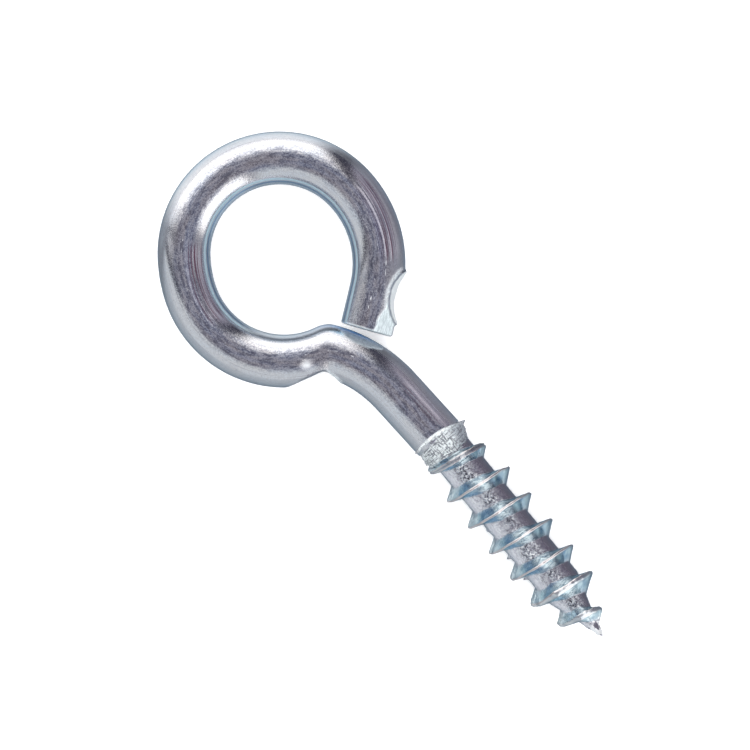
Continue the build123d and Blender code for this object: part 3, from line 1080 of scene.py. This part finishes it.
def view_axes():
    """Right and up in the picture, as directions over the floor"""
    turn = radians(VIEW_TURN)
    return Vector((cos(turn), sin(turn), 0)), Vector((-sin(turn), cos(turn), 0))


def camera():
    distance = FRAME_WIDTH / 2 / tan(np.arctan(SENSOR / 2 / LENS)) * MM
    data = bpy.data.cameras.new("camera")
    data.lens = LENS
    data.sensor_width = SENSOR
    data.clip_start = 0.001
    seen = bpy.data.objects.new("camera", data)
    seen.location = Vector(VIEW_CENTRE) * MM + Vector((0, 0, distance))
    seen.rotation_euler = (0, 0, radians(VIEW_TURN))
    bpy.context.collection.objects.link(seen)
    bpy.context.scene.camera = seen


def card(name, corners, material, distance=CARD_DISTANCE, steps=12):
    """A curved card round the object. Its corners are (bearing, height angle) pairs, low start, low
    end, high end and high start, with bearings counter-clockwise from the picture's right"""
    right, up = view_axes()
    points, sheet = [], []
    for v in np.linspace(0, 1, steps + 1):
        for u in np.linspace(0, 1, steps + 1):
            shares = ((1 - u) * (1 - v), u * (1 - v), u * v, (1 - u) * v)
            bearing, height = (radians(a) for a in np.array(shares) @ np.array(corners))
            level = right * cos(bearing) + up * sin(bearing)
            points.append((level * cos(height) + Vector((0, 0, sin(height)))) * distance)
            sheet.append((u, v, 0.0))
    across = steps + 1
    faces = [(i, i + 1, i + 1 + across, i + across)
             for i in range(across * steps) if (i + 1) % across]
    mesh = bpy.data.meshes.new(name)
    mesh.from_pydata(points, [], faces)
    mesh.attributes.new("sheet", "FLOAT_VECTOR", "POINT").data.foreach_set("vector", np.ravel(sheet))
    mesh.materials.append(material)
    mesh.shade_smooth()
    held = bpy.data.objects.new(name, mesh)
    held.visible_camera = False
    held.visible_shadow = False
    bpy.context.collection.objects.link(held)


def square(reach, height):
    return [(x * reach, y * reach, height) for x, y in ((-1, -1), (1, -1), (1, 1), (-1, 1))]


def room_side(name, points, faces, material):
    mesh = bpy.data.meshes.new(name)
    mesh.from_pydata(points, [], faces)
    mesh.materials.append(material)
    side = bpy.data.objects.new(name, mesh)
    bpy.context.collection.objects.link(side)
    return side


def plane(name, height, material):
    return room_side(name, square(FLOOR_REACH, height), [(0, 1, 2, 3)], material)


def backdrop():
    """White walls round the floor, which only the camera sees"""
    material, nodes = new_material("pale_walls")
    glow = nodes.add("ShaderNodeEmission", Color=(1.0, 1.0, 1.0, 1), Strength=1.0)
    nodes.add("ShaderNodeOutputMaterial", Surface=glow.outputs[0])
    faces = [(i, (i + 1) % 4, (i + 1) % 4 + 4, i + 4) for i in range(4)]
    points = square(WALL_REACH, 0.0) + square(WALL_REACH, WALL_HEIGHT)
    walls = room_side("backdrop", points, faces, material)
    walls.visible_diffuse = False
    walls.visible_glossy = False
    walls.visible_shadow = False


def floor():
    """A white floor for the camera, and a greyer one just under it for the metal's reflections"""
    seen = plane("floor", 0.0, floor_material("pale_floor", (0.92, 0.92, 0.92, 1), 0.0, 1.0, 0.3))
    seen.visible_glossy = False
    seen.visible_shadow = False
    glossy = floor_material("glossy_floor", (0.6, 0.63, 0.66, 1), 0.95, 0.3, 0.0)
    bounce = plane("floor_bounce", -0.05 * MM, glossy)
    bounce.visible_camera = False


def world():
    """A dim room, cluttered overhead, where the camera would be"""
    scene_world = bpy.data.worlds.new("studio")
    scene_world.use_nodes = True
    bpy.context.scene.world = scene_world
    nodes = Nodes(scene_world.node_tree)
    place = nodes.add("ShaderNodeTexCoord").outputs["Generated"]
    height = nodes.add("ShaderNodeSeparateXYZ", Vector=place).outputs["Z"]
    patches = nodes.ranged(nodes.noise(place, 2.4, 1.0), 0.42, 0.58)
    clutter = nodes.ranged(nodes.noise(place, 15.0, 3.0, 0.6), 0.38, 0.62)
    lit = nodes.mixed(patches, (0.38, 0.42, 0.53, 1), (0.50, 0.49, 0.51, 1))
    above = nodes.mixed(clutter, (0.1, 0.095, 0.14, 1), lit)
    colour = nodes.mixed(nodes.ranged(height, 0.7, 0.88), (0.26, 0.26, 0.30, 1), above)
    sky = nodes.add("ShaderNodeBackground", Color=colour, Strength=1.0)
    nodes.add("ShaderNodeOutputWorld", Surface=sky.outputs[0])


def cards():
    """Soft boxes, boards and dark edges that the metal reflects; those in front are nearer"""
    white = (1.0, 1.0, 1.0, 1)
    key = glow_material("key_glow", white, 1.35, (0.15, 0.15, 0.22, 0.4))
    side = glow_material("side_glow", white, 1.35, (0.08, 0.2, 0.02, 0.32))
    grey = glow_material("grey_glow", (0.56, 0.59, 0.62, 1), 1.0, (0.03, 0.02, 0.02, 0.02))
    pale = glow_material("pale_glow", (0.6, 0.62, 0.66, 1), 1.0, (0.05, 0.05, 0.02, 0.5))
    dark = glow_material("dark_edges", (0.04, 0.04, 0.06, 1), 1.0, (0.1, 0.1, 0.02, 0.1))
    card("key_box", ((66, -6), (165, -6), (162, 68), (56, 76)), key)
    card("side_box", ((-72, -6), (-5, -6), (-10, 63), (-67, 64)), side)
    card("grey_board", ((168, -6), (288, -6), (283, 48), (193, 50)), grey)
    card("slats", ((4, 2), (58, 2), (56, 50), (8, 50)), slat_material())
    card("pale_board", ((155, -6), (185, -6), (205, 50), (160, 60)), pale, 0.7)
    card("dark_by_key", ((163, -6), (166, -6), (170, 66), (163, 68)), dark, 0.57)
    card("dark_by_grey", ((165, -6), (170, -6), (198, 54), (184, 54)), dark, 0.58)
    card("dark_by_slats", ((54, -6), (70, -6), (61, 70), (50, 62)), dark, 0.57)


def fill_light():
    """Soft light from straight above, for the floor and what is chalky, without a reflection"""
    light = bpy.data.lights.new("floor_fill", "SUN")
    light.energy = 3.6
    light.angle = radians(70)
    fill = bpy.data.objects.new("floor_fill", light)
    fill.visible_glossy = False
    fill.visible_camera = False
    bpy.context.collection.objects.link(fill)


def studio():
    camera()
    floor()
    backdrop()
    world()
    cards()
    fill_light()
    bpy.context.scene.view_settings.view_transform = "Standard"


# ---- the whole ----

def add_rings(name, rings, ends, lay, marks, material):
    """A mesh of closed rings and its two end points, laid in place"""
    points = lay(np.concatenate((rings.reshape(-1, 3), ends)))
    make_mesh(name, points, ring_faces(*rings.shape[:2]), with_ends(marks), material)


def build_screw_eye():
    wire, marks = wire_surface()
    lay = laying(wire)
    ends = ((0.0, 0.0, 0.0), wire[-1].mean(axis=0))
    add_rings("bent_wire", wire, ends, lay, marks, zinc_wire())

    thread, marks = thread_surface()
    ends = ((thread[0, 0, 0], 0.0, 0.0), (THREAD_LENGTH, 0.0, 0.0))
    points = lay(leaned(np.concatenate((thread.reshape(-1, 3), ends))))
    make_mesh("wood_thread", points, spiral_faces(*thread.shape[:2]), with_ends(marks), zinc_thread())

    collar, marks = collar_surface()
    ends = (collar[0].mean(axis=0), collar[-1].mean(axis=0))
    add_rings("torn_collar", collar, ends, lambda points: lay(leaned(points)), marks, zinc_collar())


build_screw_eye()
studio()
